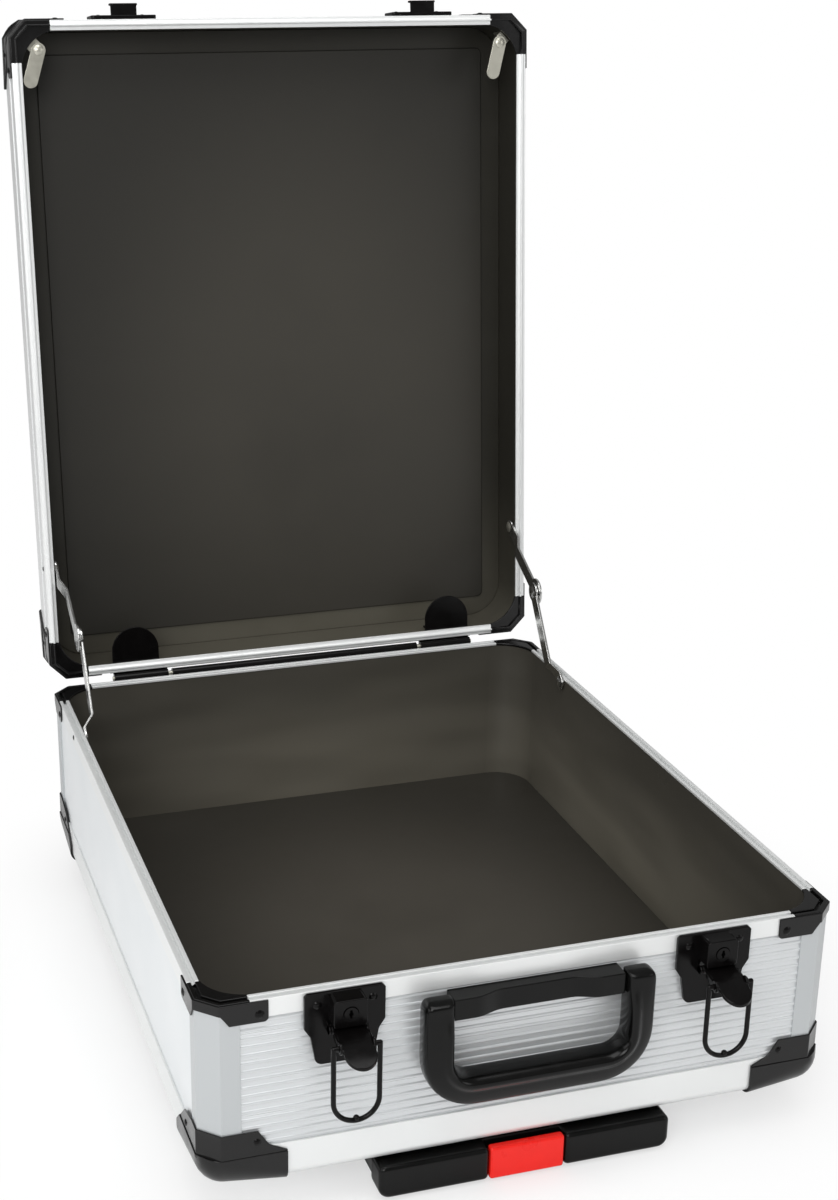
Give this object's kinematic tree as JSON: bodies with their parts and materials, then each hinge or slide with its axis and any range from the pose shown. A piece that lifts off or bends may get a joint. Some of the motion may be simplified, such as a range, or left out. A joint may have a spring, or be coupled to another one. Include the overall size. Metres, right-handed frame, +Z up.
{
  "type": "aluminium trolley tool case",
  "caption": "Aluminium tool case with a hinged lid held by folding stays, draw latches, a carrying handle and a pull-out trolley grip with wheels",
  "frame": {"origin": "middle of the bottom panel's outer face", "axes": "+X to the right seen from the latch side, +Y towards the hinge side, +Z up through the rim"},
  "size_m": [0.3436, 0.5355, 0.5583],
  "materials": {
    "smooth_panel": "satin",
    "ribbed_panel": "satin, ribbed",
    "profile": "satin anodised",
    "lining": "matt",
    "black_plastic": "fine grain",
    "black_metal": "satin black",
    "steel": "zinc plated",
    "bright_steel": "nickel plated",
    "red_plastic": "gloss",
    "grey_plastic": "moulded",
    "tyre": "matt"
  },
  "bodies": {
    "base": {"bottom_panel": "smooth_panel", "front_panel": "ribbed_panel", "back_panel": "smooth_panel", "left_panel": "smooth_panel", "right_panel": "smooth_panel", "base_edge_profiles": "profile", "base_corner_posts": "profile", "base_rim": "profile", "base_rim_corners": "black_plastic", "base_corner_caps": "black_plastic", "base_wall_lining": "lining", "floor_lining": "lining", "base_rivets": "black_metal", "left_latch_plate": "black_metal", "right_latch_plate": "black_metal", "handle_mount": "black_plastic", "hinge_base_leaf": "black_metal", "trolley_outer_tubes": "profile", "trolley_front_bracket": "black_plastic", "trolley_rear_bracket": "black_plastic", "wheel_housings": "black_plastic", "wheel_axles": "steel", "standing_feet": "black_plastic"},
    "lid": {"lid_panel": "smooth_panel", "lid_wall_panels": "smooth_panel", "lid_edge_profiles": "profile", "lid_corner_posts": "profile", "lid_rim_profiles": "profile", "lid_rim_corners": "black_plastic", "lid_corner_caps": "black_plastic", "lid_wall_lining": "lining", "lid_panel_lining": "lining", "lid_rivets": "black_metal", "latch_catches": "black_metal", "board_retainers": "black_metal", "clip_brackets": "steel", "hinge_lid_leaf": "black_metal", "hinge_pin": "steel"},
    "left_stay_lower": {"left_stay_lower": "bright_steel"},
    "left_stay_upper": {"left_stay_upper": "bright_steel"},
    "left_lever": {"left_lever": "black_metal"},
    "left_bail": {"left_bail": "black_metal"},
    "left_lock_plug": {"left_lock_plug": "black_metal"},
    "left_clip": {"left_clip": "steel"},
    "left_wheel": {"left_wheel_hub": "grey_plastic", "left_tyre": "tyre"},
    "right_stay_lower": {"right_stay_lower": "bright_steel"},
    "right_stay_upper": {"right_stay_upper": "bright_steel"},
    "right_lever": {"right_lever": "black_metal"},
    "right_bail": {"right_bail": "black_metal"},
    "right_lock_plug": {"right_lock_plug": "black_metal"},
    "right_clip": {"right_clip": "steel"},
    "right_wheel": {"right_wheel_hub": "grey_plastic", "right_tyre": "tyre"},
    "handle_grip": {"handle_grip": "black_plastic"},
    "trolley_middle": {"trolley_middle_tubes": "profile"},
    "trolley_grip": {"trolley_inner_tubes": "profile", "trolley_grip": "black_plastic"},
    "release_button": {"release_button": "red_plastic"}
  },
  "joints": [
    {"name": "lid_hinge", "type": "hinge", "parent": "base", "child": "lid", "pos_m": [0, 0.214, 0.1028], "axis": [1, 0, 0], "range_deg": [0, 95.3]},
    {"name": "left_stay_lower_joint", "type": "hinge", "parent": "base", "child": "left_stay_lower", "pos_m": [-0.1614, 0.132, 0.0988], "axis": [1, 0, 0], "range_deg": [0, 105]},
    {"name": "left_stay_upper_joint", "type": "hinge", "parent": "lid", "child": "left_stay_upper", "pos_m": [-0.1622, 0.22813, 0.18043], "axis": [-1, 0, 0], "range_deg": [0, 135]},
    {"name": "left_lever_joint", "type": "hinge", "parent": "base", "child": "left_lever", "pos_m": [-0.0983, -0.2165, 0.084], "axis": [1, 0, 0], "range_deg": [0, 84]},
    {"name": "left_bail_joint", "type": "hinge", "parent": "left_lever", "child": "left_bail", "pos_m": [-0.0983, -0.23092, 0.08248], "axis": [-1, 0, 0], "range_deg": [0, 265]},
    {"name": "left_lock_turn", "type": "hinge", "parent": "base", "child": "left_lock_plug", "pos_m": [-0.0983, -0.2215, 0.0944], "axis": [0, 1, 0], "range_deg": [0, 90]},
    {"name": "left_clip_turn", "type": "hinge", "parent": "lid", "child": "left_clip", "pos_m": [-0.1526, 0.25483, 0.50726], "axis": [0, -0.9957, 0.0924], "range_deg": [0, 108]},
    {"name": "left_wheel_turn", "type": "hinge", "parent": "base", "child": "left_wheel", "pos_m": [-0.107, 0.2235, -0.008], "axis": [1, 0, 0], "continuous": true},
    {"name": "right_stay_lower_joint", "type": "hinge", "parent": "base", "child": "right_stay_lower", "pos_m": [0.1614, 0.132, 0.0988], "axis": [1, 0, 0], "range_deg": [0, 105]},
    {"name": "right_stay_upper_joint", "type": "hinge", "parent": "lid", "child": "right_stay_upper", "pos_m": [0.1622, 0.22813, 0.18043], "axis": [-1, 0, 0], "range_deg": [0, 135]},
    {"name": "right_lever_joint", "type": "hinge", "parent": "base", "child": "right_lever", "pos_m": [0.0983, -0.2165, 0.084], "axis": [1, 0, 0], "range_deg": [0, 84]},
    {"name": "right_bail_joint", "type": "hinge", "parent": "right_lever", "child": "right_bail", "pos_m": [0.0983, -0.23092, 0.08248], "axis": [-1, 0, 0], "range_deg": [0, 265]},
    {"name": "right_lock_turn", "type": "hinge", "parent": "base", "child": "right_lock_plug", "pos_m": [0.0983, -0.2215, 0.0944], "axis": [0, 1, 0], "range_deg": [0, 90]},
    {"name": "right_clip_turn", "type": "hinge", "parent": "lid", "child": "right_clip", "pos_m": [0.1526, 0.25483, 0.50726], "axis": [0, 0.9957, -0.0924], "range_deg": [0, 90]},
    {"name": "right_wheel_turn", "type": "hinge", "parent": "base", "child": "right_wheel", "pos_m": [0.107, 0.2235, -0.008], "axis": [1, 0, 0], "continuous": true},
    {"name": "handle_swing", "type": "hinge", "parent": "base", "child": "handle_grip", "pos_m": [0, -0.217, 0.0865], "axis": [-1, 0, 0], "range_deg": [0, 95]},
    {"name": "trolley_middle_slide", "type": "slide", "parent": "base", "child": "trolley_middle", "axis": [0, -1, 0], "range_m": [0, 0.28]},
    {"name": "trolley_grip_slide", "type": "slide", "parent": "trolley_middle", "child": "trolley_grip", "axis": [0, -1, 0], "range_m": [0, 0.28]},
    {"name": "button_press", "type": "slide", "parent": "trolley_grip", "child": "release_button", "axis": [0, 1, 0], "range_m": [0, 0.004], "stiffness_N_per_m": 300, "springref_m": -0.003}
  ],
  "couplings": [
    {"joint": "left_stay_lower_joint", "follows": "lid_hinge", "ratio": 1.0835},
    {"joint": "left_stay_upper_joint", "follows": "lid_hinge", "ratio": 1.4047},
    {"joint": "left_bail_joint", "follows": "left_lever_joint", "ratio": 3.1429},
    {"joint": "right_stay_lower_joint", "follows": "lid_hinge", "ratio": 1.0835},
    {"joint": "right_stay_upper_joint", "follows": "lid_hinge", "ratio": 1.4047},
    {"joint": "right_bail_joint", "follows": "right_lever_joint", "ratio": 3.1429}
  ]
}
